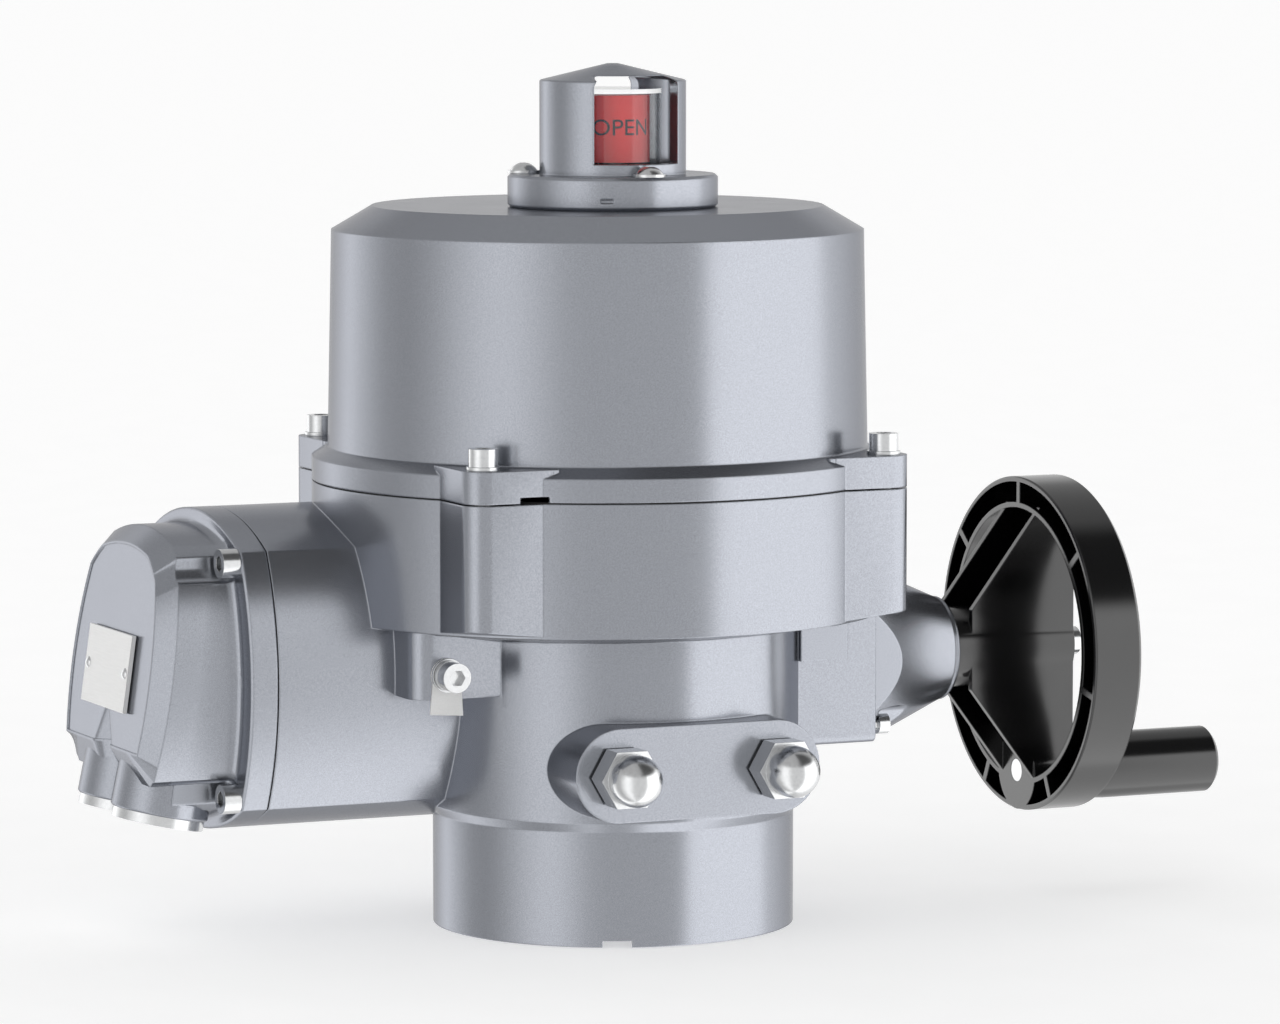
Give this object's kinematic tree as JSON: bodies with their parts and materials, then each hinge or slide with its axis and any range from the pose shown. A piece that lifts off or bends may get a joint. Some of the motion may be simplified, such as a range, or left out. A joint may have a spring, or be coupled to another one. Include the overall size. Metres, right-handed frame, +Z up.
{
  "type": "electric valve actuator",
  "caption": "Quarter-turn electric valve actuator: grey cast housing with domed cover, position indicator, terminal box, travel stops and a crank handwheel.",
  "frame": {"origin": "centre of the valve flange face, on the output axis", "axes": "+Z up along the output axis, +X towards the handwheel, -Y towards the travel stops"},
  "size_m": [0.4091, 0.2063, 0.2965],
  "materials": {
    "painted_casting": "satin",
    "stainless_steel": "satin",
    "machined_steel": "satin",
    "bronze": "satin",
    "black_plastic": "gloss",
    "clear_glass": "gloss",
    "red_plastic": "satin",
    "seal_rubber": "matte",
    "plate_metal": "satin",
    "board": "matte",
    "terminal_plastic": "matte",
    "dark_plastic": "matte",
    "cam_plastic": "matte",
    "motor_paint": "satin"
  },
  "bodies": {
    "housing": {"lower_housing": "painted_casting", "housing_seal": "seal_rubber", "cover": "painted_casting", "cover_screws": "stainless_steel", "cover_washers": "stainless_steel", "indicator_hood": "painted_casting", "indicator_glass": "clear_glass", "indicator_screws": "stainless_steel", "indicator_washers": "stainless_steel", "indicator_bush": "bronze", "terminal_cover": "painted_casting", "terminal_seal": "seal_rubber", "terminal_cover_screws": "stainless_steel", "terminal_blocks": "terminal_plastic", "conduit_plugs": "stainless_steel", "nameplate": "plate_metal", "nameplate_rivets": "stainless_steel", "stop_screws": "stainless_steel", "stop_cap_nuts": "stainless_steel", "stop_washers": "seal_rubber", "earth_screw": "stainless_steel", "earth_washers": "stainless_steel", "earth_tag": "plate_metal", "bonnet": "painted_casting", "bonnet_screws": "stainless_steel", "bonnet_bushes": "bronze", "gear_plate": "machined_steel", "gear_plate_screws": "machined_steel", "worm_bearings": "machined_steel", "output_bush": "bronze", "geared_motor": "motor_paint", "motor_bracket": "machined_steel", "idler_pin": "machined_steel", "control_board": "board", "board_standoffs": "bronze", "limit_switches": "dark_plastic", "switch_bracket": "machined_steel"},
    "output": {"drive_sleeve": "machined_steel", "worm_wheel": "bronze", "stop_plate": "machined_steel", "indicator_shaft": "machined_steel", "switch_cams": "cam_plastic", "indicator_drum": "red_plastic"},
    "worm": {"worm_shaft": "machined_steel", "worm_shaft_gear": "machined_steel"},
    "hand": {"hand_shaft": "machined_steel", "hand_gear": "machined_steel", "handwheel": "black_plastic", "handwheel_screw": "stainless_steel", "handle_spindle": "stainless_steel"},
    "handle": {"crank_handle": "black_plastic"},
    "idler": {"idler_gear": "machined_steel"},
    "motor_rotor": {"motor_pinion": "machined_steel"}
  },
  "joints": [
    {"name": "hand_spin", "type": "hinge", "parent": "housing", "child": "hand", "pos_m": [0, 0, 0.0885], "axis": [1, 0, 0], "range_deg": [0, 2880]},
    {"name": "output_turn", "type": "hinge", "parent": "housing", "child": "output", "pos_m": [0, 0, 0], "axis": [0, 0, 1], "range_deg": [-90, 0]},
    {"name": "worm_spin", "type": "hinge", "parent": "housing", "child": "worm", "pos_m": [0, 0.04, 0.0885], "axis": [1, 0, 0], "range_deg": [-2880, 0]},
    {"name": "idler_spin", "type": "hinge", "parent": "housing", "child": "idler", "pos_m": [0, 0.03141, 0.12346], "axis": [1, 0, 0], "range_deg": [0, 3600]},
    {"name": "motor_spin", "type": "hinge", "parent": "housing", "child": "motor_rotor", "pos_m": [0, 0.04, 0.148], "axis": [1, 0, 0], "range_deg": [-5760, 0]},
    {"name": "crank_spin", "type": "hinge", "parent": "hand", "child": "handle", "pos_m": [0.18, 0, 0.0429], "axis": [1, 0, 0], "continuous": true}
  ],
  "couplings": [
    {"joint": "output_turn", "follows": "hand_spin", "ratio": -0.03125},
    {"joint": "worm_spin", "follows": "hand_spin", "ratio": -1},
    {"joint": "idler_spin", "follows": "hand_spin", "ratio": 1.25},
    {"joint": "motor_spin", "follows": "hand_spin", "ratio": -2}
  ]
}
